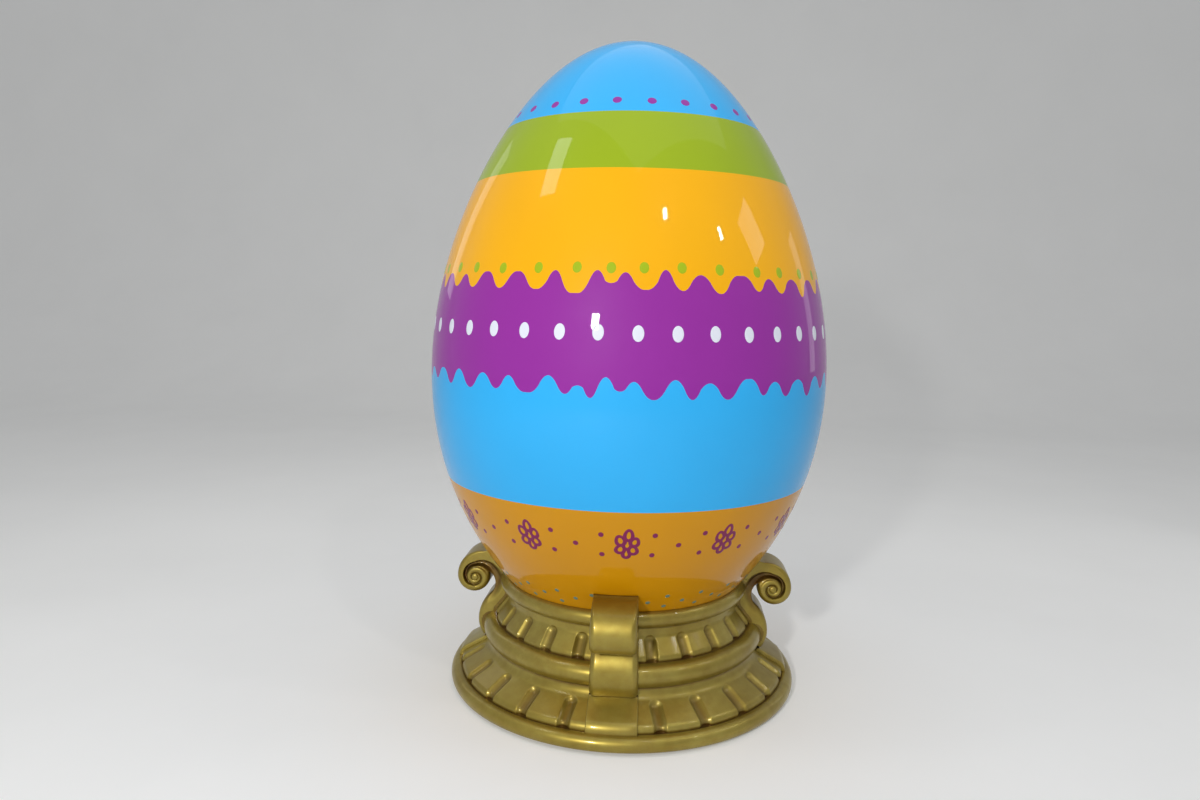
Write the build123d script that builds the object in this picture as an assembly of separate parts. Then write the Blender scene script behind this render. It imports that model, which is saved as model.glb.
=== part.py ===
"""Giant decorative egg in a round fluted stand with four scroll brackets.

Millimetres, +Z up. The origin is the centre of the stand's underside, on the floor.
Round profiles are drawn as short conical bands, so that the big curved pieces stay light.
"""
from build123d import *
import math
import os

# Egg outline: half an ellipse on its side, with a taper that is cubic in height
egg_radius = 563.0
egg_half_height = 860.0
egg_taper_shares = (-0.0936, -0.1250, 0.0827)
egg_seat_share = 0.7907
egg_bands = 8
seam_height = 900.0

# Plate and mast in the egg's underside, and the socket that the mast drops into
base_plate_radius = 150.0
base_plate_thickness = 18.0
bond_gap = 0.3
mast_radius = 30.0
mast_wall = 4.0
mast_rise = 300.0
mast_drop = 105.0
mast_flange_radius = 80.0
mast_flange_thickness = 6.0
mast_flange_clearance = 28.0
socket_clearance = 0.5
socket_wall = 8.0
socket_flange_radius = 95.0
socket_flange_thickness = 8.0
socket_depth = 95.0

# Seat ring that the egg rests in
seat_ring_reach = 11.85
seat_ring_roll = 25.0
seat_ring_flat_share = 0.92
seat_ring_bands = 8
seat_gap = 0.3

# Middle ring and the deck inside it
middle_ring_step = 41.0
middle_ring_roll = 32.7
middle_ring_width = 37.0
middle_ring_low_share = 0.872
middle_ring_top_share = 0.994
middle_ring_bands = 8
deck_thickness = 18.0

# Base ring and base board
base_ring_step = 106.0
base_ring_roll = 22.6
base_ring_width = 48.0
base_ring_flat_share = 0.929
base_ring_bands = 6
board_thickness = 9.0
board_inset = 8.0

# Lower fluted skirt: a round shoulder, a slope and a cove
skirt_rise = 81.39
skirt_riser = 4.0
skirt_shoulder = 20.0
skirt_cove = 32.0
skirt_neck_step = 1.0
skirt_arc_bands = 3
skirt_foot_width = 30.0
skirt_flange_ledge = 20.0
skirt_flange_thickness = 22.0
skirt_flange_wall = 24.0
skirt_flute_stop = 15.0

# Upper fluted collar, steeper, with a plain neck above the cove
collar_rise = 81.0
collar_riser = 5.0
collar_shoulder = 18.0
collar_cove = 18.0
collar_neck_step = 8.0
collar_neck_rise = 19.0
collar_arc_bands = 2
collar_wall = 20.0
collar_flute_stop = 8.0

# Flutes: round channels with a ball end at the top, open at the foot
flute_tool_radius = 21.0
flute_depth = 9.0
flutes_between_brackets = 5

# Scroll brackets, one in each quadrant
bracket_sides = ("front", "right", "back", "left")
bracket_count = len(bracket_sides)
bracket_turn = -92.5
bracket_toe_width = 128.0
bracket_lip_width = 114.0
toe_drop = 42.5
belly_reach = 49.0
belly_rise = 4.5
belly_upper_curve = 110.0
belly_lower_curve = 77.0
neck_reach = 40.0
neck_drop = 20.0
scroll_radius = 49.5
scroll_reach = 105.0
scroll_rise = 1.0
crown_radius = 77.0
lip_flare_radius = 40.0
lip_flare_turn = 40.0

# Volute: a tapering channel of half circles round an eye, as shares of the scroll's radius
volute_inset = 8.0
volute_drop = 3.5
volute_depth = 8.0
volute_outer_shares = (1.21, 1.01, 0.75, 0.69, 0.51, 0.40, 0.28)
volute_inner_shares = (0.95, 0.73, 0.64, 0.60, 0.43, 0.33, 0.22)

# Straps that carry the brackets' line down over the skirt
strap_thickness = 10.0
strap_head_width = 127.0
strap_foot_width = 133.0

# Bolts with hexagonal heads
hole_gap = 0.3
bolt_radius = 5.0
bolt_head_radius = 9.0
bolt_head_height = 6.0
mast_bolt_count = 4
mast_bolt_turn = 45.0
mast_bolt_circle = 62.0
mast_bolt_length = 60.0
bracket_bolt_rise = 30.0
bracket_bolt_spacing = 60.0
bracket_bolt_reach = 42.2

# One overrun serves every cut
overrun = 5.0

# Heights where the pieces meet, from the floor up
base_top = base_ring_roll * (1 + base_ring_flat_share)
skirt_top = base_top + skirt_rise
deck_top = skirt_top + deck_thickness
middle_ring_height = skirt_top + middle_ring_roll * middle_ring_low_share
collar_foot = middle_ring_height + middle_ring_roll * middle_ring_top_share
collar_top = collar_foot + collar_rise
seat_ring_height = collar_top + seat_ring_roll * seat_ring_flat_share
toe_height = middle_ring_height - toe_drop
belly_height = middle_ring_height + belly_rise
neck_height = seat_ring_height - neck_drop
scroll_height = seat_ring_height + scroll_rise
crown_height = scroll_height + crown_radius
lip_height = crown_height + lip_flare_radius * (1 - math.cos(math.radians(lip_flare_turn)))
socket_top = deck_top + socket_flange_thickness
mast_flange_base = socket_top + mast_flange_clearance
egg_flat_height = mast_flange_base + mast_flange_thickness
egg_mid_height = seat_ring_height + egg_half_height * egg_seat_share


def egg_point(angle, inset):
    """Point of the egg's outline, moved inwards along its normal by the inset."""
    level = math.sin(angle)
    first, second, third = egg_taper_shares
    taper = 1 + first * level + second * level**2 + third * level**3
    taper_slope = first + 2 * second * level + 3 * third * level**2
    run = egg_radius * (math.cos(angle) ** 2 * taper_slope - level * taper)
    rise = egg_half_height * math.cos(angle)
    length = math.hypot(run, rise)
    radius = egg_radius * math.cos(angle) * taper
    height = egg_mid_height + egg_half_height * level
    return radius - inset * rise / length, height + inset * run / length


def egg_angle(height):
    """Angle of the outline's point at a height."""
    return math.asin((height - egg_mid_height) / egg_half_height)


def egg_radius_at(height):
    """Radius of the egg's outline at a height."""
    return egg_point(egg_angle(height), 0)[0]


# Radii where the pieces meet, from the egg's seat outwards
seat_ring_radius = egg_radius_at(seat_ring_height) + seat_ring_reach
seat_low_edge = seat_ring_radius + seat_ring_roll * math.sqrt(1 - seat_ring_flat_share**2)
middle_ring_radius = seat_ring_radius + middle_ring_step
middle_ring_bore = middle_ring_radius - middle_ring_width
middle_low_edge = middle_ring_radius + middle_ring_roll * math.sqrt(1 - middle_ring_low_share**2)
middle_top_edge = middle_ring_radius - middle_ring_roll * math.sqrt(1 - middle_ring_top_share**2)
base_ring_radius = middle_ring_radius + base_ring_step
base_ring_bore = base_ring_radius - base_ring_width
base_top_edge = base_ring_radius - base_ring_roll * math.sqrt(1 - base_ring_flat_share**2)
board_radius = base_ring_radius - board_inset
skirt_neck = middle_low_edge - skirt_neck_step
skirt_flange_bore = middle_ring_bore - skirt_flange_ledge
collar_neck = seat_low_edge - collar_neck_step
collar_bore = collar_neck - collar_wall
belly_radius = middle_ring_radius + belly_reach
neck_radius = seat_ring_radius + neck_reach
scroll_centre = (seat_ring_radius + scroll_reach, scroll_height)
volute_eye = (scroll_centre[0] - volute_inset, scroll_centre[1] - volute_drop)
bracket_root = collar_neck - collar_wall / 2
bracket_bolt_height = collar_foot + bracket_bolt_rise
bracket_bolt_tip = collar_neck + bracket_bolt_reach
socket_radius = mast_radius + socket_clearance + socket_wall


def polar(centre, radius, angle):
    """Point on a circle, at an angle in degrees."""
    turn = math.radians(angle)
    return centre[0] + radius * math.cos(turn), centre[1] + radius * math.sin(turn)


def arc_points(centre, radius, start, end, bands):
    """Points that divide an arc, its angles in degrees, into equal bands."""
    return [polar(centre, radius, start + (end - start) * index / bands) for index in range(bands + 1)]


def turned(points):
    """Solid of revolution about the vertical axis from a closed outline of radius and height."""
    return revolve(Plane.XZ * make_face(Polyline(*points, close=True)), Axis.Z)


def disc(radius, low, high):
    """Upright cylinder on the axis between two heights."""
    return Pos(0, 0, low) * Cylinder(radius, high - low, align=(Align.CENTER, Align.CENTER, Align.MIN))


def rod(radius, start, end):
    """Cylinder from one point to another."""
    axis = Vector(*end) - Vector(*start)
    return Plane(origin=start, z_dir=axis) * Cylinder(
        radius, axis.length, align=(Align.CENTER, Align.CENTER, Align.MIN)
    )


def around(count, shape, first=0.0):
    """Copies of a shape at even angles about the vertical axis."""
    return [Rot(0, 0, first + 360.0 * index / count) * shape for index in range(count)]


def without(shape, tools):
    """Cut each tool from a shape."""
    for tool in tools:
        shape = shape - tool
    return shape


def group(solids):
    """Separate solids that share a node."""
    return Part() + solids


# Egg
def egg_outline(start, end, inset):
    """Outline points between two angles, with a band between each two."""
    return [egg_point(start + (end - start) * index / egg_bands, inset) for index in range(egg_bands + 1)]


def egg_upper_half():
    outline = egg_outline(egg_angle(seam_height), math.pi / 2, 0)
    return turned([(0, seam_height)] + outline[:-1] + [(0, outline[-1][1])])


def egg_lower_body(grow):
    """Lower half before the recess and the bore are cut, swollen by a gap."""
    outline = egg_outline(egg_angle(egg_flat_height), egg_angle(seam_height), -grow)
    flat = egg_flat_height - grow
    return turned([(0, flat), (outline[0][0], flat)] + outline[1:] + [(0, outline[-1][1])])


def egg_lower_half():
    recess = disc(base_plate_radius + bond_gap, egg_flat_height - overrun, egg_flat_height + base_plate_thickness)
    bore = disc(mast_radius + bond_gap, egg_flat_height - overrun, egg_flat_height + mast_rise + bond_gap)
    return without(egg_lower_body(0), [recess, bore] + mast_bolts(hole_gap))


def egg_base_plate():
    plate = disc(base_plate_radius, egg_flat_height, egg_flat_height + base_plate_thickness - bond_gap)
    bore = disc(mast_radius + bond_gap, egg_flat_height - overrun, egg_flat_height + mast_rise)
    return without(plate, [bore] + mast_bolts(hole_gap))


def egg_mast():
    """Tube up into the egg and down into the stand, with a flange under the egg's plate."""
    low = egg_flat_height - mast_drop
    tube = disc(mast_radius, low, egg_flat_height + mast_rise)
    flange = disc(mast_flange_radius, mast_flange_base, egg_flat_height)
    inside = disc(mast_radius - mast_wall, low - overrun, egg_flat_height + mast_rise + overrun)
    return without(tube + flange - inside, mast_bolts(hole_gap))


def bolt(foot, way, length, grow):
    """Bolt from the underside of its head; a grown one is the hole for its shank."""
    plane = Plane(origin=foot, z_dir=way)
    shank = plane * Cylinder(bolt_radius + grow, length + grow, align=(Align.CENTER, Align.CENTER, Align.MIN))
    if grow:
        return shank
    return shank + extrude(plane * RegularPolygon(bolt_head_radius, 6), -bolt_head_height)


def mast_bolts(grow):
    """Bolts up through the flange and the plate into the egg."""
    shape = bolt((mast_bolt_circle, 0, mast_flange_base), (0, 0, 1), mast_bolt_length, grow)
    return around(mast_bolt_count, shape, mast_bolt_turn)


# Board, rings, deck and socket of the stand
def base_board():
    return disc(board_radius, 0, board_thickness)


def base_ring_body(grow):
    """Round ring, flat underneath for the board and flat on top for the skirt."""
    centre = (base_ring_radius, base_ring_roll)
    low_angle = -math.degrees(math.asin((base_ring_roll - board_thickness) / base_ring_roll))
    top_angle = 180 - math.degrees(math.asin(base_ring_flat_share))
    outline = arc_points(centre, base_ring_roll + grow, low_angle, top_angle, base_ring_bands)
    return turned(outline + [(base_ring_bore, outline[-1][1]), (base_ring_bore, outline[0][1])])


def middle_ring_body(grow):
    """Round ring with flats where the skirt and the collar meet it."""
    centre = (middle_ring_radius, middle_ring_height)
    low_angle = -math.degrees(math.asin(middle_ring_low_share))
    top_angle = 180 - math.degrees(math.asin(middle_ring_top_share))
    outline = arc_points(centre, middle_ring_roll + grow, low_angle, top_angle, middle_ring_bands)
    return turned(outline + [(middle_ring_bore, outline[-1][1]), (middle_ring_bore, outline[0][1])])


def seat_ring_body(grow):
    """Round ring before the egg's seat is cut from it."""
    centre = (seat_ring_radius, seat_ring_height)
    low_angle = -math.degrees(math.asin(seat_ring_flat_share))
    outline = arc_points(centre, seat_ring_roll + grow, low_angle, 90, seat_ring_bands)
    inside = seat_ring_radius - 2 * seat_ring_roll
    return turned(outline + [(inside, outline[-1][1]), (inside, outline[0][1])])


def seat_ring():
    return seat_ring_body(0) - egg_lower_body(seat_gap)


def middle_deck():
    deck = disc(middle_ring_bore - bond_gap, skirt_top, deck_top)
    return deck - disc(socket_radius + bond_gap, skirt_top - overrun, deck_top + overrun)


def mast_socket():
    """Flanged bush on the deck, open at both ends."""
    foot = socket_top - socket_depth
    body = disc(socket_flange_radius, deck_top, socket_top) + disc(socket_radius, foot, socket_top)
    return body - disc(mast_radius + socket_clearance, foot - overrun, socket_top + overrun)


# Ogee outline shared by the skirt and the collar
def ogee(foot, riser, shoulder, neck, cove):
    """Centres, turn and slope length of a shoulder and a cove that a straight slope joins."""
    low = (foot[0] - shoulder, foot[1] + riser)
    high = (neck[0] + cove, neck[1])
    across, climb = high[0] - low[0], high[1] - low[1]
    slope = math.sqrt(across**2 + climb**2 - (shoulder + cove) ** 2)
    turn = math.degrees(math.atan2(climb, across) - math.atan2(slope, shoulder + cove))
    return low, high, turn, slope


def ogee_points(foot, riser, shoulder, neck, cove, bands, grow):
    """Points from the foot to the neck, moved outwards by a gap."""
    low, high, turn, slope = ogee(foot, riser, shoulder, neck, cove)
    shoulder_arc = arc_points(low, shoulder + grow, 0, turn, bands)
    cove_arc = arc_points(high, cove - grow, turn + 180, 180, bands)
    return [(foot[0] + grow, foot[1])] + shoulder_arc + cove_arc


def flute_tool(foot, riser, shoulder, neck, cove, stop):
    """Cutter for one flute: down the slope from a ball end, then straight down past the foot."""
    low, high, turn, slope = ogee(foot, riser, shoulder, neck, cove)
    rise = flute_tool_radius - flute_depth
    start = polar(low, shoulder + rise, turn)
    end = polar(start, slope - stop, turn + 90)
    bend_radius = foot[0] + rise
    back = (bend_radius - start[0]) / math.sin(math.radians(turn))
    bend = (bend_radius, start[1] - back * math.cos(math.radians(turn)))
    channel = rod(flute_tool_radius, (bend[0], 0, bend[1]), (end[0], 0, end[1]))
    drop = rod(flute_tool_radius, (bend[0], 0, foot[1] - overrun), (bend[0], 0, bend[1]))
    return channel + drop + Pos(end[0], 0, end[1]) * Sphere(flute_tool_radius)


def flutes(tool):
    """The tool at every flute's place, even between each two brackets."""
    steps = flutes_between_brackets + 1
    pitch = 360.0 / bracket_count / steps
    return [Rot(0, 0, bracket_turn + pitch * spot) * tool for spot in range(bracket_count * steps) if spot % steps]


skirt_ogee = ((base_top_edge, base_top), skirt_riser, skirt_shoulder, (skirt_neck, skirt_top), skirt_cove)
collar_ogee = (
    (middle_top_edge, collar_foot),
    collar_riser,
    collar_shoulder,
    (collar_neck, collar_top - collar_neck_rise),
    collar_cove,
)


def skirt_body(grow):
    """Skirt without its flutes, with an inward flange that carries the deck."""
    flange_base = skirt_top - skirt_flange_thickness
    return turned(
        ogee_points(*skirt_ogee, skirt_arc_bands, grow)
        + [
            (skirt_flange_bore, skirt_top),
            (skirt_flange_bore, flange_base),
            (skirt_neck - skirt_flange_wall, flange_base),
            (base_top_edge - skirt_foot_width, base_top),
        ]
    )


def lower_fluted_skirt():
    return without(skirt_body(0), flutes(flute_tool(*skirt_ogee, skirt_flute_stop)))


def collar_body(grow):
    """Collar without its flutes."""
    return turned(
        ogee_points(*collar_ogee, collar_arc_bands, grow)
        + [(collar_neck + grow, collar_top), (collar_bore, collar_top), (collar_bore, collar_foot)]
    )


def upper_fluted_collar():
    return without(collar_body(0), flutes(flute_tool(*collar_ogee, collar_flute_stop)) + bracket_bolts(hole_gap))


# Brackets and straps are drawn in the plane of +X and +Z and then turned to their places
def tapered_slab(low, low_width, high, high_width):
    """Slab from the axis outwards whose width changes with height."""
    corners = [
        (-low_width / 2, low),
        (low_width / 2, low),
        (high_width / 2, high),
        (-high_width / 2, high),
    ]
    return extrude(Plane.YZ * make_face(Polyline(*corners, close=True)), 2 * scroll_centre[0])


def circle_meeting(first_centre, first_radius, second_centre, second_radius):
    """Upper left point where two circles meet."""
    across = second_centre[0] - first_centre[0]
    climb = second_centre[1] - first_centre[1]
    apart = math.hypot(across, climb)
    along = (first_radius**2 - second_radius**2 + apart**2) / (2 * apart)
    aside = math.sqrt(first_radius**2 - along**2)
    return (
        first_centre[0] + (along * across - aside * climb) / apart,
        first_centre[1] + (along * climb + aside * across) / apart,
    )


def bracket_edges():
    """Side outline: toe, belly over the middle ring, neck, scroll, crown, and lip on the egg."""
    lower = (belly_radius - belly_lower_curve, belly_height)
    upper = (belly_radius - belly_upper_curve, belly_height)
    toe_angle = math.degrees(math.asin((toe_height - belly_height) / belly_lower_curve))
    toe = polar(lower, belly_lower_curve, toe_angle)
    across = neck_radius - upper[0]
    climb = neck_height - belly_height
    neck_curve = (across**2 + climb**2 - belly_upper_curve**2) / (2 * (belly_upper_curve - across))
    neck = (neck_radius + neck_curve, neck_height)
    lean = math.degrees(math.atan2(neck[1] - upper[1], neck[0] - upper[0]))
    join = polar(upper, belly_upper_curve, lean)
    throat = circle_meeting(neck, neck_curve, scroll_centre, scroll_radius)
    outer = polar(scroll_centre, scroll_radius, 0)
    crown_centre = (outer[0] - crown_radius, scroll_height)
    crown = (crown_centre[0], crown_height)
    flare_centre = (crown[0], crown_height + lip_flare_radius)
    flare_middle = polar(flare_centre, lip_flare_radius, 270 - lip_flare_turn / 2)
    tip = polar(flare_centre, lip_flare_radius, 270 - lip_flare_turn)
    return [
        Line((bracket_root, toe_height), toe),
        ThreePointArc(toe, polar(lower, belly_lower_curve, toe_angle / 2), (belly_radius, belly_height)),
        ThreePointArc((belly_radius, belly_height), polar(upper, belly_upper_curve, lean / 2), join),
        ThreePointArc(join, (neck_radius, neck_height), throat),
        ThreePointArc(throat, polar(scroll_centre, scroll_radius, -90), outer),
        ThreePointArc(outer, polar(crown_centre, crown_radius, 45), crown),
        ThreePointArc(crown, flare_middle, tip),
        Line(tip, (bracket_root, tip[1])),
        Line((bracket_root, tip[1]), (bracket_root, toe_height)),
    ]


def half_circles(shares):
    """Spiral of half circles about the eye, and its ends, from the throat up over the coil and round it."""
    levels = [-scroll_radius * share * (-1) ** index for index, share in enumerate(shares)]
    arcs = []
    for index, (start, end) in enumerate(zip(levels, levels[1:])):
        middle = (volute_eye[0], volute_eye[1] + (start + end) / 2)
        side = 180 * ((index + 1) % 2)
        arcs.append(
            ThreePointArc(
                (volute_eye[0], volute_eye[1] + start),
                polar(middle, abs(start - end) / 2, side),
                (volute_eye[0], volute_eye[1] + end),
            )
        )
    return arcs, (volute_eye[0], volute_eye[1] + levels[0]), (volute_eye[0], volute_eye[1] + levels[-1])


def volute_channel():
    """Cutter for the carved spiral, open at the throat, as deep as its channel on both faces."""
    outer, outer_start, outer_end = half_circles(volute_outer_shares)
    inner, inner_start, inner_end = half_circles(volute_inner_shares)
    ends = [Line(outer_start, inner_start), Line(outer_end, inner_end)]
    spiral = extrude(Plane.XZ * make_face(Curve() + outer + inner + ends), bracket_toe_width, both=True)
    low_width, high_width = bracket_toe_width - 2 * volute_depth, bracket_lip_width - 2 * volute_depth
    return spiral - tapered_slab(toe_height, low_width, lip_height, high_width)


def scroll_bracket():
    """One bracket, cut to lie against the skirt, the rings, the collar and the egg."""
    slab = extrude(Plane.XZ * make_face(Curve() + bracket_edges()), bracket_toe_width, both=True)
    blank = slab & tapered_slab(toe_height, bracket_toe_width, lip_height, bracket_lip_width)
    behind = [
        skirt_body(bond_gap),
        middle_ring_body(bond_gap),
        disc(middle_ring_bore + overrun, skirt_top, collar_foot),
        collar_body(bond_gap),
        seat_ring_body(bond_gap),
        egg_lower_body(seat_gap),
    ]
    return without(blank, behind + [volute_channel()] + bracket_bolt_pair(hole_gap))


def bracket_bolt_pair(grow):
    """Two bolts through the collar into one bracket, from inside."""
    aside = bracket_bolt_spacing / 2
    seat = math.sqrt(collar_bore**2 - (aside + bolt_head_radius) ** 2) - bond_gap
    length = bracket_bolt_tip - seat
    return [bolt((seat, side, bracket_bolt_height), (1, 0, 0), length, grow) for side in (-aside, aside)]


def bracket_bolts(grow):
    return [copy for shape in bracket_bolt_pair(grow) for copy in around(bracket_count, shape, bracket_turn)]


def lower_strap():
    """Plate over the skirt under a bracket, standing on the base ring."""
    top = toe_height - bond_gap
    cover = skirt_body(bond_gap + strap_thickness)
    slab = tapered_slab(base_top, strap_foot_width, top, strap_head_width)
    behind = [skirt_body(bond_gap), base_ring_body(bond_gap), disc(skirt_neck, 0, skirt_top)]
    return without(cover & slab, behind)


nodes = {
    "egg_upper_half": egg_upper_half(),
    "egg_lower_half": egg_lower_half(),
    "egg_base_plate": egg_base_plate(),
    "egg_mast": egg_mast(),
    "mast_bolts": group(mast_bolts(0)),
    "base_board": base_board(),
    "base_ring": base_ring_body(0),
    "lower_fluted_skirt": lower_fluted_skirt(),
    "middle_deck": middle_deck(),
    "middle_ring": middle_ring_body(0),
    "upper_fluted_collar": upper_fluted_collar(),
    "seat_ring": seat_ring(),
    "mast_socket": mast_socket(),
    "bracket_bolts": group(bracket_bolts(0)),
}
for kind, shape in {"scroll_bracket": scroll_bracket(), "lower_strap": lower_strap()}.items():
    for side, copy in zip(bracket_sides, around(bracket_count, shape, bracket_turn)):
        nodes[f"{kind}_{side}"] = copy

os.makedirs("parts", exist_ok=True)
for name, shape in nodes.items():
    export_step(shape, f"parts/{name}.step")
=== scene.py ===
"""Looks of the giant decorative egg on its fluted stand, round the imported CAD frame. Metres, +Z up."""
import math
import bmesh
import bpy
import numpy as np
from mathutils import Matrix, Vector

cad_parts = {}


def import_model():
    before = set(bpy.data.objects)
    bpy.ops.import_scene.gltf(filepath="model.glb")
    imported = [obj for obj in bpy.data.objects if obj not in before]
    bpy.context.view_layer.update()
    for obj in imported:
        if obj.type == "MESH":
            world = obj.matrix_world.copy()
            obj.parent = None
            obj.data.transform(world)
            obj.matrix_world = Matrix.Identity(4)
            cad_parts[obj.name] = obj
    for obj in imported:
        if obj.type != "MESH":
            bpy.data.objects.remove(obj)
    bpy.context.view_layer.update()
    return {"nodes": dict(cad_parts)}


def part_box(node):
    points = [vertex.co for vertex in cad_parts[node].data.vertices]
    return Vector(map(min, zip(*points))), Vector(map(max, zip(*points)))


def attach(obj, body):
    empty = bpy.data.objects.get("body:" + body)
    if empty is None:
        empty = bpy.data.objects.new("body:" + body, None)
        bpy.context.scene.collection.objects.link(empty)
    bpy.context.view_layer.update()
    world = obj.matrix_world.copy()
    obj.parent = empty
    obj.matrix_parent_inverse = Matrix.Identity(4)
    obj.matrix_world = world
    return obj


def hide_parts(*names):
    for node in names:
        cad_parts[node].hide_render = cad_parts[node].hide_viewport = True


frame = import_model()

mm = 0.001

# Heights and radii that the frame gives
egg_low, egg_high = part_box("egg_lower_half")[0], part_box("egg_upper_half")[1]
board_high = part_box("base_board")[1]

# Egg outline: an ellipse whose radius is changed by a cubic of the height
egg_radius = 562.3 * mm
egg_top = egg_high.z
egg_half_height = 860 * mm
egg_mid = egg_top - egg_half_height
egg_taper = (-0.0936, -0.1250, 0.0827)
egg_flat = egg_low.z

# Rings: radius and height of the roll's centre, and the roll's own radius
base_ring = (488 * mm, 22.6 * mm, 22.6 * mm)
middle_ring = (382 * mm, 153.5 * mm, 32.7 * mm)
seat_ring = (341 * mm, 290 * mm, 25 * mm)
base_bore, middle_bore = 440 * mm, 345 * mm
base_flat_share, middle_low_share, middle_top_share, seat_flat_share = 0.929, 0.872, 0.994, 0.92
bead_points, seat_points, bowl_points = 60, 56, 12
gap = 0.3 * mm

# Fluted skirt and collar
base_top = base_ring[2] * (1 + base_flat_share)
base_top_edge = base_ring[0] - base_ring[2] * math.sqrt(1 - base_flat_share**2)
skirt_top = middle_ring[1] - middle_ring[2] * middle_low_share
middle_low_edge = middle_ring[0] + middle_ring[2] * math.sqrt(1 - middle_low_share**2)
collar_foot = middle_ring[1] + middle_ring[2] * middle_top_share
middle_top_edge = middle_ring[0] - middle_ring[2] * math.sqrt(1 - middle_top_share**2)
collar_top = seat_ring[1] - seat_ring[2] * seat_flat_share
seat_low_edge = seat_ring[0] + seat_ring[2] * math.sqrt(1 - seat_flat_share**2)
collar_neck = seat_low_edge - 8 * mm
skirt_ogee = ((base_top_edge, base_top), 4 * mm, 20 * mm, (middle_low_edge - 1 * mm, skirt_top), 32 * mm)
collar_shoulder = collar_top - 19 * mm
collar_ogee = ((middle_top_edge, collar_foot), 5 * mm, 18 * mm, (collar_neck, collar_shoulder), 18 * mm)
skirt_thickness, collar_thickness = 24 * mm, 20 * mm
flute_radius, flute_depth = 21 * mm, 9 * mm
skirt_stop, collar_stop = 15 * mm, 8 * mm
flute_rim = 1.1 * mm
ogee_rows = 96

# Brackets and straps
bracket_turn = -92.5
bracket_sides = ("front", "right", "back", "left")
sectors = 24
toe_height = middle_ring[1] - 42.5 * mm
toe_width, lip_width = 128 * mm, 114 * mm
belly = (431 * mm, 158 * mm)
belly_upper, belly_lower = 110 * mm, 77 * mm
neck_point = (381 * mm, 270 * mm)
scroll = (446 * mm, 291 * mm)
scroll_radius = 49.5 * mm
crown_radius, flare_radius, flare_turn = 77 * mm, 40 * mm, 40
lip_height = scroll[1] + crown_radius + flare_radius * (1 - math.cos(math.radians(flare_turn)))
lip_edge = 1.2 * mm
edge_round = 15.5 * mm
lip_round = 1.0 * mm

# Carved scroll: outer and inner edge of its channel at each quarter turn from below the eye, as
# shares of the scroll's radius, the channel's depth over the turns, in degrees from the top, and the
# share of its width that each of its walls takes
volute_eye = (441 * mm, 288 * mm)
volute_shares = (1.80, 1.82, 0.97, 0.72, 0.55, 0.44, 0.32, 0.26, 0.21)
coil_shares = (0.89, 0.80, 0.60, 0.50, 0.40, 0.33, 0.22, 0.20, 0.18)
volute_start = -180
cove_turns = (-150, -90, -30, 60, 150, 330)
cove_depths = (4 * mm, 12 * mm, 18 * mm, 18 * mm, 8 * mm, 5 * mm)
coil_drop = 0.28
eye_rise = 3 * mm
channel_wall = 0.42
side_rows = 48

strap_thickness, strap_head, strap_foot = 10 * mm, 127 * mm, 133 * mm
strap_round = 2.5 * mm

# Paint bands of the egg, by height
cap_low, green_low, blue_low = 1577 * mm, 1431 * mm, 622 * mm
upper_border, lower_border = 1165 * mm, 921 * mm
cap_dots, green_dots, white_ovals = 1607 * mm, 1195 * mm, 1047 * mm
flowers_high, fives_high, seat_dots = 534 * mm, 531 * mm, 348 * mm
dot_pitch, oval_count, flower_count, flower_pitch = 14.4, 38, 12, 30
columns = 1440
paint_lift = 0.5 * mm


def srgb(*code):
    """Linear colour of a display colour given as 0 to 255."""
    parts = [c / 255 for c in code]
    return tuple(c / 12.92 if c <= 0.04045 else ((c + 0.055) / 1.055) ** 2.4 for c in parts)


BLUE = srgb(50, 182, 250)
GREEN = srgb(156, 180, 24)
ORANGE = srgb(252, 182, 0)
AMBER = srgb(214, 148, 0)
PURPLE = srgb(152, 46, 160)
WHITE = srgb(232, 236, 248)
LEAF = srgb(166, 190, 24)
GREY_BLUE = srgb(110, 140, 124)
DARK_PURPLE = srgb(130, 30, 84)


# Meshes
def mesh_piece(name, points, faces, body, material, sharp=None):
    """Object from points and faces, shaded smooth, riding on a body."""
    mesh = bpy.data.meshes.new(name)
    mesh.from_pydata([tuple(p) for p in points], [], faces)
    mesh.validate()
    mesh.shade_smooth()
    if sharp is not None:
        mesh.set_sharp_from_angle(angle=math.radians(sharp))
    made = bpy.data.objects.new(name, mesh)
    bpy.context.scene.collection.objects.link(made)
    mesh.materials.append(material)
    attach(made, body)
    return made


def grid_faces(rows, across, start=0, close_rows=False, close_across=False):
    """Quads of a grid of points stored row by row."""
    down = rows if close_rows else rows - 1
    over = across if close_across else across - 1
    return [
        (
            start + i * across + j,
            start + i * across + (j + 1) % across,
            start + ((i + 1) % rows) * across + (j + 1) % across,
            start + ((i + 1) % rows) * across + j,
        )
        for i in range(down)
        for j in range(over)
    ]


def weld(made, distance=0.02 * mm):
    """Join coincident points and turn the normals outwards."""
    work = bmesh.new()
    work.from_mesh(made.data)
    bmesh.ops.remove_doubles(work, verts=work.verts, dist=distance)
    bmesh.ops.dissolve_degenerate(work, edges=work.edges, dist=distance / 4)
    bmesh.ops.recalc_face_normals(work, faces=work.faces)
    work.to_mesh(made.data)
    work.free()
    made.data.update()


def point_values(made, name, values):
    """Store a number at each point of a mesh."""
    layer = made.data.attributes.new(name, "FLOAT", "POINT")
    layer.data.foreach_set("value", np.asarray(values, np.float32))


def arc(centre, radius, start, end, count):
    """Points of an arc, angles in radians, as an array of radius and height."""
    turn = np.linspace(start, end, count)
    return np.stack([centre[0] + radius * np.cos(turn), centre[1] + radius * np.sin(turn)], 1)


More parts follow.
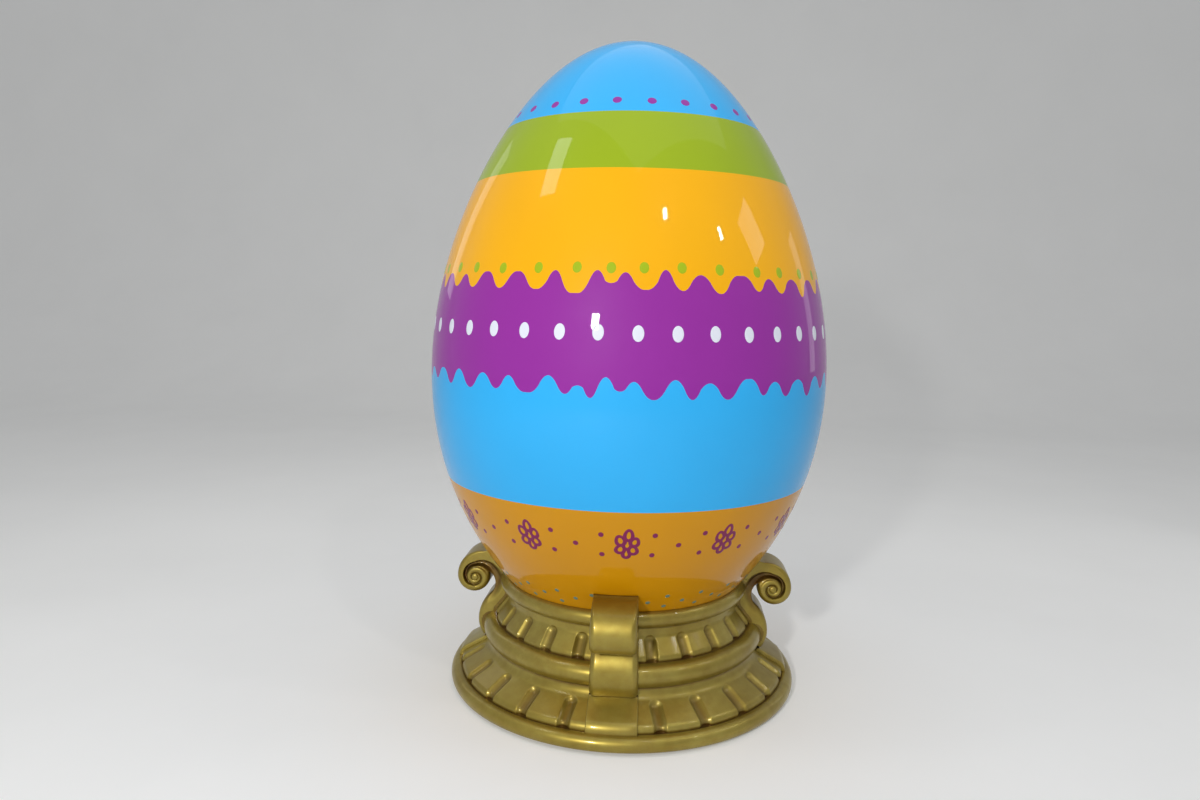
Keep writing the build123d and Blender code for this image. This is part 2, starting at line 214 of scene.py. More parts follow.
def revolved(name, outline, wash_and_shade, replaced):
    """Gold ring from a closed outline of radius and height, with the share of brown antiquing and painted
    shade at each point of it.
    """
    around = 360
    turn = np.linspace(0, 2 * np.pi, around, endpoint=False)
    points = np.stack(
        [
            outline[None, :, 0] * np.cos(turn)[:, None],
            outline[None, :, 0] * np.sin(turn)[:, None],
            np.repeat(outline[None, :, 1], around, 0),
        ],
        -1,
    ).reshape(-1, 3)
    faces = grid_faces(around, len(outline), close_rows=True, close_across=True)
    made = mesh_piece(name, points, faces, "stand", gold, 32)
    point_values(made, "wash_and_shade_mask", np.tile(wash_and_shade, around))
    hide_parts(replaced)


# Node materials
def material(name):
    made = bpy.data.materials.new(name)
    made.use_nodes = True
    tree = made.node_tree
    return made, tree, tree.nodes["Principled BSDF"]


def node(tree, kind, **settings):
    made = tree.nodes.new(kind)
    for key, value in settings.items():
        setattr(made, key, value)
    return made


def noise(tree, scale, detail=3.0, roughness=0.55):
    """Noise over the object's own coordinates."""
    where = node(tree, "ShaderNodeTexCoord")
    made = node(tree, "ShaderNodeTexNoise")
    made.inputs["Scale"].default_value = scale
    made.inputs["Detail"].default_value = detail
    made.inputs["Roughness"].default_value = roughness
    tree.links.new(where.outputs["Object"], made.inputs["Vector"])
    return made.outputs["Fac"]


def ranged(tree, value, low, high, to_low, to_high):
    made = node(tree, "ShaderNodeMapRange", clamp=True)
    for key, number in zip(("From Min", "From Max", "To Min", "To Max"), (low, high, to_low, to_high)):
        made.inputs[key].default_value = number
    tree.links.new(value, made.inputs["Value"])
    return made.outputs["Result"]


def maths(tree, operation, first, second):
    made = node(tree, "ShaderNodeMath", operation=operation, use_clamp=True)
    for socket, value in zip(made.inputs, (first, second)):
        if isinstance(value, (int, float)):
            socket.default_value = value
        else:
            tree.links.new(value, socket)
    return made.outputs["Value"]


def mixed(tree, share, first, second):
    made = node(tree, "ShaderNodeMix", data_type="RGBA")
    for key, value in (("Factor", share), ("A", first), ("B", second)):
        socket = made.inputs[key]
        if isinstance(value, tuple):
            socket.default_value = (*value, 1)
        elif isinstance(value, (int, float)):
            socket.default_value = value
        else:
            tree.links.new(value, socket)
    return made.outputs["Result"]


def bumped(tree, shader, height, strength, distance):
    made = node(tree, "ShaderNodeBump")
    made.inputs["Strength"].default_value = strength
    made.inputs["Distance"].default_value = distance
    tree.links.new(height, made.inputs["Height"])
    tree.links.new(made.outputs["Normal"], shader.inputs["Normal"])


def paint_material():
    """Enamel colours under a thick clear coat."""
    made, tree, shader = material("egg_enamel")
    colour = node(tree, "ShaderNodeAttribute", attribute_name="paint")
    shade = ranged(tree, noise(tree, 2.2, 3.0), 0.3, 0.7, 0.94, 1.0)
    hue = node(tree, "ShaderNodeHueSaturation")
    tree.links.new(colour.outputs["Color"], hue.inputs["Color"])
    tree.links.new(shade, hue.inputs["Value"])
    tree.links.new(hue.outputs["Color"], shader.inputs["Base Color"])
    tree.links.new(ranged(tree, noise(tree, 9.0), 0.3, 0.7, 0.42, 0.5), shader.inputs["Roughness"])
    shader.inputs["Specular IOR Level"].default_value = 0.1
    shader.inputs["Coat Weight"].default_value = 0.75
    shader.inputs["Coat Roughness"].default_value = 0.03
    shader.inputs["Coat IOR"].default_value = 1.32
    return made


def gold_material():
    """Satin olive gold paint with brown antiquing and painted shade in its recesses and at its joints."""
    made, tree, shader = material("antique_gold")
    wash_and_shade_mask = node(tree, "ShaderNodeAttribute", attribute_name="wash_and_shade_mask").outputs["Fac"]
    cloud = noise(tree, 6.0, 5.0, 0.6)
    fine = noise(tree, 45.0, 4.0, 0.6)
    base = mixed(tree, ranged(tree, cloud, 0.35, 0.68, 0, 1), srgb(146, 126, 44), srgb(166, 150, 70))
    speck = mixed(tree, ranged(tree, fine, 0.4, 0.7, 0, 0.4), base, srgb(136, 112, 40))
    # Dark brown where the mask is high: brown antiquing and painted shade in recesses and at joints; the
    # loose noise patches are stains.
    masked_wash_and_shade = maths(tree, "MULTIPLY", wash_and_shade_mask, ranged(tree, noise(tree, 20.0, 4.0), 0.3, 0.62, 0.6, 1.0))
    stains_wash_and_shade = maths(tree, "MAXIMUM", masked_wash_and_shade, ranged(tree, noise(tree, 3.4, 6.0, 0.62), 0.52, 0.80, 0, 0.4))
    tree.links.new(mixed(tree, stains_wash_and_shade, speck, srgb(92, 62, 16)), shader.inputs["Base Color"])
    shader.inputs["Metallic"].default_value = 0.75
    rough = ranged(tree, noise(tree, 14.0, 4.0), 0.3, 0.7, 0.36, 0.48)
    tree.links.new(rough, shader.inputs["Roughness"])
    shader.inputs["Coat Weight"].default_value = 0.3
    shader.inputs["Coat Roughness"].default_value = 0.12
    bumped(tree, shader, noise(tree, 70.0, 3.0), 0.06, 0.001)
    return made


def plywood_material():
    made, tree, shader = material("birch_plywood")
    where = node(tree, "ShaderNodeTexCoord")
    stretch = node(tree, "ShaderNodeMapping")
    stretch.inputs["Scale"].default_value = (1.2, 16.0, 16.0)
    tree.links.new(where.outputs["Object"], stretch.inputs["Vector"])
    grain = node(tree, "ShaderNodeTexNoise")
    grain.inputs["Scale"].default_value = 6.0
    grain.inputs["Detail"].default_value = 6.0
    tree.links.new(stretch.outputs["Vector"], grain.inputs["Vector"])
    share = ranged(tree, grain.outputs["Fac"], 0.3, 0.7, 0, 1)
    wood = mixed(tree, share, srgb(184, 148, 100), srgb(214, 184, 138))
    tree.links.new(wood, shader.inputs["Base Color"])
    tree.links.new(ranged(tree, grain.outputs["Fac"], 0.3, 0.7, 0.55, 0.75), shader.inputs["Roughness"])
    bumped(tree, shader, grain.outputs["Fac"], 0.25, 0.0008)
    return made


def steel_material():
    made, tree, shader = material("galvanised_steel")
    cloud = noise(tree, 40.0, 4.0)
    zinc = mixed(tree, cloud, srgb(150, 152, 156), srgb(196, 198, 202))
    tree.links.new(zinc, shader.inputs["Base Color"])
    shader.inputs["Metallic"].default_value = 1.0
    tree.links.new(ranged(tree, cloud, 0.3, 0.7, 0.28, 0.45), shader.inputs["Roughness"])
    bumped(tree, shader, noise(tree, 220.0), 0.15, 0.0005)
    return made


enamel = paint_material()
gold = gold_material()
plywood = plywood_material()
steel = steel_material()


# Egg
def egg_radius_at(height):
    level = np.clip((np.asarray(height, float) - egg_mid) / egg_half_height, -1, 1)
    first, second, third = egg_taper
    return egg_radius * np.sqrt(1 - level**2) * (1 + first * level + second * level**2 + third * level**3)


def egg_slope(height):
    """Run of the outline's radius for each unit of height."""
    step = 0.5 * mm
    low, high = np.maximum(height - step, egg_flat), np.minimum(height + step, egg_top - step / 50)
    return (egg_radius_at(high) - egg_radius_at(low)) / (high - low)


def on_egg(azimuth, height, lift=0.0):
    """Points on the egg, azimuth in radians, moved out along the surface's normal."""
    radius, slope = egg_radius_at(height), egg_slope(height)
    length = np.sqrt(1 + slope**2)
    out, up = lift / length, -lift * slope / length
    return np.stack([(radius + out) * np.cos(azimuth), (radius + out) * np.sin(azimuth), height + up], -1)


# Flanks of the two wavy borders over half a turn, in degrees, and how far each lobe between them
# reaches from the border's middle height, in millimetres
upper_flanks = (
    *(-158, -154, -148, -143, -139, -134, -128, -123, -117, -111, -107, -100, -96, -93, -89, -83),
    *(-79, -74.5, -69.5, -64, -57, -53, -49, -44, -38.5, -34, -28, -23, -17, -12, -6, -1, 4, 8, 13, 17),
)
upper_reaches = (
    *(-19, 17, -16, 14, -18, 20, -20, 20, -21, 23, -29, 24, -5, 20, -19, 27, -20, 17),
    *(-25, 18, -18, 13, -21, 14, -28, 15, -19, 20, -17, 16, -22, 19, -18, 14, -16, 17),
)
lower_flanks = (
    *(-160, -155, -151, -145, -141, -136, -131, -126, -122, -118, -111.5, -106.5, -103, -100.3, -97, -93),
    *(-90.3, -86.6, -81, -76.5, -72.5, -68, -62.7, -56.5, -53, -49, -44.3, -39, -34, -29, -24, -19),
    *(-14, -9, -4, 1, 5, 9, 13, 16.5),
)
lower_reaches = (
    *(13, -13, 18, -18, 22, -20, 20, -15, 19, -18, 25, -16, 5, -23, 26, -6),
    *(17, -24, 22, -24, 14, -25, 22, -19, 12, -25, 13, -31, 15, -20, 18, -24),
    *(16, -18, 20, -22, 14, -17, 15, -16),
)
flank_width = 2.6


def border(azimuth, middle, flanks, reaches):
    """Height at each azimuth of a border of round lobes, which repeats each half turn."""
    turns = np.array([*flanks, flanks[0] + 180])
    place = (azimuth - turns[0]) % 180 + turns[0]
    index = np.clip(np.searchsorted(turns, place, "right") - 1, 0, len(flanks) - 1)
    start, end = turns[index], turns[index + 1]
    from_flank = np.minimum(place - start, end - place)
    share = np.clip(from_flank / np.minimum(flank_width, (end - start) / 2), 0, 1)
    return middle + np.array(reaches)[index] * mm * (1 - (1 - share) ** 2)


def egg_rows():
    """Border heights from the flat underside to the top, with the colour and rows between each two."""
    azimuth = np.linspace(-180, 180, columns, endpoint=False)
    flat = np.ones(columns)
    orange_edge = border(azimuth, upper_border, upper_flanks, upper_reaches)
    purple_edge = border(azimuth, lower_border, lower_flanks, lower_reaches)
    edges = [
        (egg_flat * flat, None, 0),
        (blue_low * flat, AMBER, 30),
        (purple_edge, BLUE, 16),
        (orange_edge, PURPLE, 16),
        (green_low * flat, ORANGE, 14),
        (cap_low * flat, GREEN, 10),
    ]
    return azimuth, edges


def egg_shell():
    azimuth, edges = egg_rows()
    turn = np.radians(azimuth)
    rows, colours = [edges[0][0]], []
    for (low, _, _), (high, colour, count) in zip(edges, edges[1:]):
        for index in range(1, count + 1):
            rows.append(low + (high - low) * index / count)
            colours.append(colour)
    cap_rows = 40
    start = np.arcsin((cap_low - egg_mid) / egg_half_height)
    for index in range(1, cap_rows):
        level = start + (np.pi / 2 - start) * index / cap_rows
        rows.append(np.full(columns, egg_mid + egg_half_height * np.sin(level)))
        colours.append(BLUE)
    points = np.concatenate([on_egg(turn, row) for row in rows])
    faces = grid_faces(len(rows), columns, close_across=True)
    total = len(points)
    points = np.concatenate([points, [[0, 0, egg_top], [0, 0, egg_flat]]])
    last = (len(rows) - 1) * columns
    faces += [(last + j, last + (j + 1) % columns, total) for j in range(columns)]
    faces += [((j + 1) % columns, j, total + 1) for j in range(columns)]
    corners = np.concatenate(
        [np.repeat(np.array([(*c, 1)]), columns * 4, 0) for c in colours]
        + [np.repeat([(*BLUE, 1)], columns * 3, 0), np.repeat([(*AMBER, 1)], columns * 3, 0)]
    )
    made = mesh_piece("egg_painted_shell", points, faces, "egg", enamel, 40)
    layer = made.data.color_attributes.new("paint", "FLOAT_COLOR", "CORNER")
    layer.data.foreach_set("color", corners.astype(np.float32).ravel())
    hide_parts("egg_upper_half", "egg_lower_half")


def laid_on(azimuth, height, across, up, lift):
    """Points of a small flat motif laid on the egg about a place, azimuth in degrees."""
    slope = egg_slope(height)
    rise = height + up / math.sqrt(1 + float(slope) ** 2)
    turn = math.radians(azimuth) + across / egg_radius_at(rise)
    return on_egg(turn, rise, lift)


def motifs(name, colour, strokes):
    """One piece for all the strokes of a colour. A stroke is points and faces."""
    points, faces = [], []
    for stroke_points, stroke_faces in strokes:
        start = len(points)
        points += [tuple(p) for p in stroke_points]
        faces += [tuple(start + i for i in face) for face in stroke_faces]
    made = mesh_piece(name, points, faces, "egg", enamel)
    layer = made.data.color_attributes.new("paint", "FLOAT_COLOR", "CORNER")
    count = len(made.data.loops)
    layer.data.foreach_set("color", np.repeat([(*colour, 1)], count, 0).astype(np.float32).ravel())


def tilted(across, up, degrees):
    """Place across and up, turned anticlockwise."""
    tilt = math.radians(degrees)
    return across * math.cos(tilt) - up * math.sin(tilt), across * math.sin(tilt) + up * math.cos(tilt)


def dot(azimuth, height, wide, tall, lean=0.0):
    """Slightly domed oval of paint."""
    around = 40
    turn = np.linspace(0, 2 * np.pi, around, endpoint=False)
    rings = ((1.0, -0.3), (0.985, 0.45), (0.9, 0.85), (0.6, 1.0), (0.25, 1.0))
    rows = []
    for size, lift in rings:
        across, up = wide / 2 * size * np.cos(turn), tall / 2 * size * np.sin(turn)
        across, up = tilted(across, up, lean)
        rows.append(laid_on(azimuth, height, across, up, paint_lift * lift))
    points = np.concatenate(rows + [laid_on(azimuth, height, np.zeros(1), np.zeros(1), paint_lift)])
    faces = grid_faces(len(rings), around, close_across=True)
    last = (len(rings) - 1) * around
    faces += [(last + j, last + (j + 1) % around, len(points) - 1) for j in range(around)]
    return points, faces


def loop(azimuth, height, centre, wide, tall, turned, line):
    """Painted outline of an oval petal."""
    around = 36
    turn = np.linspace(0, 2 * np.pi, around, endpoint=False)
    rows = []
    for size, lift in ((0.5, -0.3), (0.46, 0.7), (0.2, 1.0), (-0.2, 1.0), (-0.46, 0.7), (-0.5, -0.3)):
        pinch = 1 - 0.18 * np.sin(turn)
        across = (wide / 2 + line * size) * np.cos(turn) * pinch
        up = (tall / 2 + line * size) * np.sin(turn)
        across, up = tilted(across, up, turned)
        rows.append(laid_on(azimuth, height, centre[0] + across, centre[1] + up, paint_lift * lift))
    return np.concatenate(rows), grid_faces(len(rows), around, close_across=True)


# Loops of a flower: across and up from its middle, width and height of the brush line's path, in
# millimetres, and its tilt in degrees
petal_line = 9.2 * mm
petal_loops = (
    (0, 0, 18, 27, 0),
    (1.5, 29, 19, 31, 0),
    (0, -28, 16.5, 26, 0),
    (-17.5, 11, 20.5, 28, 22),
    (17.5, 9, 19.5, 24, -15),
    (-15.5, -15.5, 20.5, 24, -12),
    (15, -16.5, 20.5, 24, 12),
)


def flower(azimuth, height, turned):
    """Six petal loops round a centre loop."""
    strokes = []
    for across, up, wide, tall, lean in petal_loops:
        centre = tuple(part * mm for part in tilted(across, up, turned))
        strokes.append(loop(azimuth, height, centre, wide * mm, tall * mm, lean + turned, petal_line))
    return strokes


def wobble(index, seed):
    """Small hand-painted unevenness between -1 and 1."""
    return math.sin(index * 12.9898 + seed * 78.233) * 0.6 + math.sin(index * 4.1 + seed) * 0.4


def egg_motifs():
    dots = round(360 / dot_pitch)
    cap = [
        dot(-140 + dot_pitch * i, cap_dots + 2 * mm * wobble(i, 1), 23 * mm, 21 * mm)
        for i in range(dots)
    ]
    motifs("egg_cap_dots", PURPLE, cap)
    white = []
    for i in range(oval_count):
        height = white_ovals + 1.5 * mm * wobble(i, 2)
        white.append(dot(-154 + 360 / oval_count * i, height, 27 * mm, 38 * mm, 3 * wobble(i, 3)))
    motifs("egg_white_ovals", WHITE, white)
    leaf = []
    for i in range(0, 2 * len(upper_flanks), 2):
        half, spot = divmod(i, len(upper_flanks))
        middle = (upper_flanks[spot] + upper_flanks[spot + 1]) / 2 + 180 * half
        height = green_dots + 2.5 * mm * wobble(i, 5)
        leaf.append(dot(middle + 0.4 * wobble(i, 4), height, 22 * mm, 27 * mm))
    motifs("egg_green_dots", LEAF, leaf)
    flowers = []
    for i in range(flower_count):
        flowers += flower(-89 + flower_pitch * i, flowers_high, 5 * wobble(i, 6))
    motifs("egg_flowers", DARK_PURPLE, flowers)
    small = []
    for i in range(flower_count):
        middle = -74 + flower_pitch * i
        small.append(dot(middle, fives_high, 14 * mm, 14 * mm))
        for side in (-7.4, 7.4):
            for up in (-27 * mm, 29 * mm):
                turn = middle + side + 0.3 * wobble(i, up)
                small.append(dot(turn, fives_high + up, 13.5 * mm, 14 * mm))
    motifs("egg_small_dots", DARK_PURPLE, small)
    low = []
    for i in range(dots):
        turn = -94.4 + dot_pitch * i
        low.append(dot(turn, seat_dots + 1.5 * mm * wobble(i, 8), 12.5 * mm, 12.5 * mm))
        for height in (seat_dots + 19 * mm, seat_dots - 18 * mm):
            low.append(dot(turn + dot_pitch / 2, height + 1.5 * mm * wobble(i, 9), 12.5 * mm, 12.5 * mm))
    motifs("egg_seat_dots", GREY_BLUE, low)


# Rings
def base_ring_piece():
    radius, height, roll = base_ring
    low = -math.asin((height - board_high.z) / roll)
    top = math.pi - math.asin(base_flat_share)
    bead = arc((radius, height), roll, low, top, bead_points)
    inside = np.array([(base_bore, bead[-1][1]), (base_bore, bead[0][1])])
    # Darker where the bead meets the skirt: brown antiquing and painted shade.
    wash_and_shade = np.concatenate([np.clip((np.linspace(0, 1, bead_points) - 0.9) * 10, 0, 1), [0, 0]])
    revolved("base_ring_bead", np.concatenate([bead, inside]), wash_and_shade, "base_ring")


def middle_ring_piece():
    radius, height, roll = middle_ring
    low, top = -math.asin(middle_low_share), math.pi - math.asin(middle_top_share)
    bead = arc((radius, height), roll, low, top, bead_points)
    inside = np.array([(middle_bore, bead[-1][1]), (middle_bore, bead[0][1])])
    along = np.linspace(0, 1, bead_points)
    # Darker at both edges, where the skirt and the collar meet the bead: brown antiquing and painted shade.
    wash_and_shade = np.concatenate([np.clip((along - 0.88) * 9, 0, 1) + np.clip((0.12 - along) * 9, 0, 1), [0, 0]])
    revolved("middle_ring_bead", np.concatenate([bead, inside]), wash_and_shade, "middle_ring")


def seat_ring_piece():
    """Bead with the egg's own shape hollowed out of its top."""
    radius, height, roll = seat_ring
    turn = np.linspace(-math.asin(seat_flat_share), math.radians(90), 400)
    bead = np.stack([radius + roll * np.cos(turn), height + roll * np.sin(turn)], 1)
    clear = bead[:, 0] > egg_radius_at(bead[:, 1]) + gap
    last = np.where(clear)[0][-1]
    bead = bead[np.linspace(0, last, seat_points).astype(int)]
    down = np.linspace(bead[-1][1] - gap, collar_top + 1 * mm, bowl_points)
    bowl = np.stack([egg_radius_at(down) + 2 * gap, down], 1)
    outline = np.concatenate([bead, bowl, [(bowl[-1][0] - 4 * mm, collar_top)]])
    # Darker at the edge on the collar and all through the bowl under the egg: brown antiquing and painted
    # shade.
    low_wash_and_shade = np.clip((0.12 - np.linspace(0, 1, seat_points)) * 9, 0, 1)
    wash_and_shade = np.concatenate([low_wash_and_shade, np.ones(bowl_points + 1)])
    revolved("seat_ring_bead", outline, wash_and_shade, "seat_ring")


# Fluted skirt and collar
def ogee_curve(foot, riser, shoulder, neck, cove):
    """Dense outline from the foot to the neck with its outward normals."""
    count = 18
    low = np.array([foot[0] - shoulder, foot[1] + riser])
    high = np.array([neck[0] + cove, neck[1]])
    across, climb = high - low
    slope = math.sqrt(across**2 + climb**2 - (shoulder + cove) ** 2)
    turn = math.atan2(climb, across) - math.atan2(slope, shoulder + cove)
    up = np.linspace(0, 1, 5)[:-1]
    foot_part = np.stack([np.full(4, foot[0]), foot[1] + riser * up], 1)
    first = arc(low, shoulder, 0, turn, count)
    second = arc(high, cove, turn + math.pi, math.pi, count)
    share = np.linspace(0, 1, 26)[1:-1, None]
    straight = first[-1] * (1 - share) + second[0] * share
    turns = np.concatenate(
        [np.zeros(4), np.linspace(0, turn, count), np.full(24, turn), np.linspace(turn, 0, count)]
    )
    points = np.concatenate([foot_part, first, straight, second])
    normals = np.stack([np.cos(turns), np.sin(turns)], 1)
    return points, normals, slope, first[-1]


def fluted(name, ogee, stop, top, thickness, replaced):
    """Ring of an ogee outline with round channels between the brackets."""
    points, normals, slope, start = ogee_curve(*ogee)
    if top > points[-1][1] + 1 * mm:
        rise = np.linspace(points[-1][1], top, 8)[1:]
        points = np.concatenate([points, np.stack([np.full(7, points[-1][0]), rise], 1)])
        normals = np.concatenate([normals, np.repeat([[1.0, 0.0]], 7, 0)])
    steps = np.concatenate([[0], np.cumsum(np.hypot(*np.diff(points, axis=0).T))])
    first = steps[np.argmin(np.hypot(*(points - start).T))]
    even = np.linspace(0, steps[-1], ogee_rows)
    points = np.stack([np.interp(even, steps, points[:, k]) for k in (0, 1)], 1)
    normals = np.stack([np.interp(even, steps, normals[:, k]) for k in (0, 1)], 1)
    ball = first + slope - stop
    azimuth = np.linspace(0, 360, columns, endpoint=False)
    pitch = 360 / sectors
    local = (azimuth - bracket_turn) / pitch
    nearest = np.round(local)
    plain = (nearest % (sectors // 4)) == 0
    offset = np.radians((local - nearest) * pitch)
    aside = points[:, 0][:, None] * np.sin(offset)[None, :]
    beyond = np.maximum(even - ball, 0)[:, None]
    reach = flute_radius - flute_depth
    inside = np.sqrt(np.maximum(flute_radius**2 - aside**2 - beyond**2, 0)) - reach
    depth = (inside + np.sqrt(inside**2 + flute_rim**2)) / 2
    edge = (-reach + np.sqrt(reach**2 + flute_rim**2)) / 2
    depth = np.where(plain[None, :], 0, np.maximum(depth - edge, 0))
    radius = points[:, 0][:, None] - normals[:, 0][:, None] * depth
    height = points[:, 1][:, None] - normals[:, 1][:, None] * depth
    turn = np.radians(azimuth)
    outer = np.stack([radius * np.cos(turn), radius * np.sin(turn), height], -1)
    back = []
    for far, up in ((points[-1][0] - thickness, points[-1][1]), (points[0][0] - thickness, points[0][1])):
        back.append(np.stack([far * np.cos(turn), far * np.sin(turn), np.full(columns, up)], -1))
    block = np.concatenate([outer, np.array(back)])
    made = mesh_piece(
        name,
        block.reshape(-1, 3),
        grid_faces(len(block), columns, close_rows=True, close_across=True),
        "stand",
        gold,
        42,
    )
    # Darker inside the flutes, along their rims and at both ends by the rings: brown antiquing and painted
    # shade.
    rim = np.exp(-((inside / (1.6 * mm)) ** 2)) * np.where(plain[None, :], 0, 1)
    deep = np.clip(depth / flute_depth, 0, 1) ** 1.5 * 0.55
    ends = np.clip(1 - even / (7 * mm), 0, 1) + np.clip(1 - (steps[-1] - even) / (8 * mm), 0, 1)
    wash_and_shade = np.clip(np.maximum(deep, 0.25 * rim) + ends[:, None] * 0.9, 0, 1)
    point_values(made, "wash_and_shade_mask", np.concatenate([wash_and_shade.ravel(), np.zeros(2 * columns)]))
    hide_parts(replaced)


# Brackets and straps, drawn in the plane of +X and +Z and then turned to their places
def circle_part(centre, radius, start, end, count, way_out=1):
    """Points of an arc, angles in radians, with the normals that point out of the bracket."""
    turn = np.linspace(start, end, count)
    way = np.stack([np.cos(turn), np.sin(turn)], 1)
    return np.array(centre) + radius * way, way_out * way


def bracket_path():
    """Outline from toe to lip with outward normals, and its counts of points to the throat and in the
    coil."""
    lower, upper = (belly[0] - belly_lower, belly[1]), (belly[0] - belly_upper, belly[1])
    toe = math.asin((toe_height - belly[1]) / belly_lower)
    across, climb = neck_point[0] - upper[0], neck_point[1] - belly[1]
    neck_curve = (across**2 + climb**2 - belly_upper**2) / (2 * (belly_upper - across))
    neck = (neck_point[0] + neck_curve, neck_point[1])
    lean = math.atan2(neck[1] - upper[1], neck[0] - upper[0])
    apart = math.hypot(scroll[0] - neck[0], scroll[1] - neck[1])
    along = (neck_curve**2 - scroll_radius**2 + apart**2) / (2 * apart)
    aside = math.sqrt(neck_curve**2 - along**2)
    way = (np.array(scroll) - neck) / apart
    throat = np.array(neck) + along * way + aside * np.array([-way[1], way[0]])
    throat_from_neck = math.atan2(throat[1] - neck[1], throat[0] - neck[0])
    throat_from_scroll = math.atan2(throat[1] - scroll[1], throat[0] - scroll[0]) - 2 * math.pi
    crown = (scroll[0] + scroll_radius - crown_radius, scroll[1])
    flare = (crown[0], crown[1] + crown_radius + flare_radius)
    turn = np.radians(np.linspace(270, 270 - flare_turn, 160))
    clear = flare[0] + flare_radius * np.cos(turn) - egg_radius_at(flare[1] + flare_radius * np.sin(turn))
    flare_end = turn[clear > gap + lip_edge][-1]
    before = [
        circle_part(lower, belly_lower, toe, 0, 22),
        circle_part(upper, belly_upper, 0, lean, 34),
        circle_part(neck, neck_curve, lean + math.pi, throat_from_neck, 26, -1),
        circle_part(throat, 0, throat_from_neck - math.pi, throat_from_scroll, 14),
    ]
    coil = circle_part(scroll, scroll_radius, throat_from_scroll, 0, 100)
    over = [
        [part[1:] for part in circle_part(crown, crown_radius, 0, math.pi / 2, 50)],
        [part[1:] for part in circle_part(flare, flare_radius, 1.5 * math.pi, flare_end, 14, -1)],
    ]
    parts = before + [coil] + over
    points, normals = (np.concatenate([part[k] for part in parts]) for k in (0, 1))
    return points, normals, sum(len(part[0]) for part in before), len(coil[0])


def stand_radius(height):
    """Outermost radius of the stand or egg at a height."""
    found = np.zeros_like(height)
    for radius, middle, roll in (middle_ring, seat_ring):
        inside = np.abs(height - middle) < roll
        reach = radius + np.sqrt(np.maximum(roll**2 - (height - middle) ** 2, 0))
        found = np.maximum(found, np.where(inside, reach, 0))
    for ogee, top in ((skirt_ogee, skirt_top), (collar_ogee, collar_top)):
        points = ogee_curve(*ogee)[0]
        inside = (height >= points[0][1]) & (height <= top)
        found = np.maximum(found, np.where(inside, np.interp(height, points[:, 1], points[:, 0]), 0))
    above_seat = height > egg_flat + 60 * mm
    return np.maximum(found, np.where(above_seat, egg_radius_at(height), 0)) + gap


def half_width(height):
    """Half of a bracket's width at a height."""
    share = (height - toe_height) / (lip_height - toe_height)
    return (toe_width + (lip_width - toe_width) * np.clip(share, 0, 1)) / 2


def smoothed(share):
    """Share clipped to 0 and 1, with a soft start and end."""
    share = np.clip(share, 0, 1)
    return share * share * (3 - 2 * share)


def volute_relief(radius, height):
    """Depth of the carved scroll below the bracket's side face: a channel, with a round coil inside it."""
    across, up = radius - volute_eye[0], height - volute_eye[1]
    away = np.hypot(across, up) / scroll_radius
    turned = (90 - np.degrees(np.arctan2(up, across))) % 360
    quarters = volute_start + np.arange(len(volute_shares)) * 90.0
    depth = np.zeros_like(away)
    for turn in (-1, 0, 1):
        place = turned + 360 * turn
        outer, channel = (np.interp(place, quarters, shares) for shares in (volute_shares, coil_shares))
        inner = np.interp(place + 360, quarters, volute_shares)
        floor, next_floor = (np.interp(spot, cove_turns, cove_depths) for spot in (place, place + 360))
        drop, next_drop = floor * coil_drop, next_floor * coil_drop
        start_drop = drop * smoothed((place - 120) / 120)
        across_channel = np.clip((outer - away) / (outer - channel), 0, 1)
        sides = start_drop + (drop - start_drop) * across_channel
        hollow = smoothed(across_channel / channel_wall) * smoothed((1 - across_channel) / channel_wall)
        across_coil = np.clip((channel - away) / np.maximum(channel - inner, 0.01), 0, 1) * 2 - 1
        coil = np.where(across_coil < 0, drop, next_drop) * across_coil**2
        here = (place >= quarters[0]) & (place < quarters[-1])
        depth = np.where(here & (away <= outer) & (away > channel), sides + (floor - sides) * hollow, depth)
        depth = np.where(here & (away <= channel) & (away > inner), coil, depth)
    eye = volute_shares[-1]
    foot = cove_depths[-1] * coil_drop
    dome = foot - (foot + eye_rise) * np.sqrt(np.maximum(1 - (away / eye) ** 2, 0))
    return np.where(away < eye, dome, depth)


def carved_side(block):
    """Points of a bracket's side face at a block of radii and heights."""
    radius, height = block[..., 0], block[..., 1]
    return np.stack([radius, half_width(height) - volute_relief(radius, height), height], -1)


def side_block(edge, contact):
    """Points of a bracket's side face between an outline and the line where it meets the stand."""
    share = np.linspace(0, 1, side_rows)[:, None, None]
    return carved_side(edge[None] * (1 - share) + contact[None] * share)


def rounded_front(path, normals, rounding):
    """Outline swept across the bracket, with rounded edges that give way to the carved scroll."""
    half = []
    for turn in np.radians(np.linspace(90, 0, 10)):
        spot = path - normals * (rounding * (1 - math.cos(turn)))[:, None]
        spot[:, 1] = np.maximum(spot[:, 1], toe_height)
        depth = np.maximum(rounding * (1 - math.sin(turn)), volute_relief(spot[:, 0], spot[:, 1]))
        half.append(np.stack([spot[:, 0], half_width(spot[:, 1]) - depth, spot[:, 1]], 1))
    flat = [half[-1] * (1, share, 1) for share in np.linspace(1, -1, 9)[1:-1]]
    other = [column * (1, -1, 1) for column in half[::-1]]
    return np.array(half + flat + other).transpose(1, 0, 2)


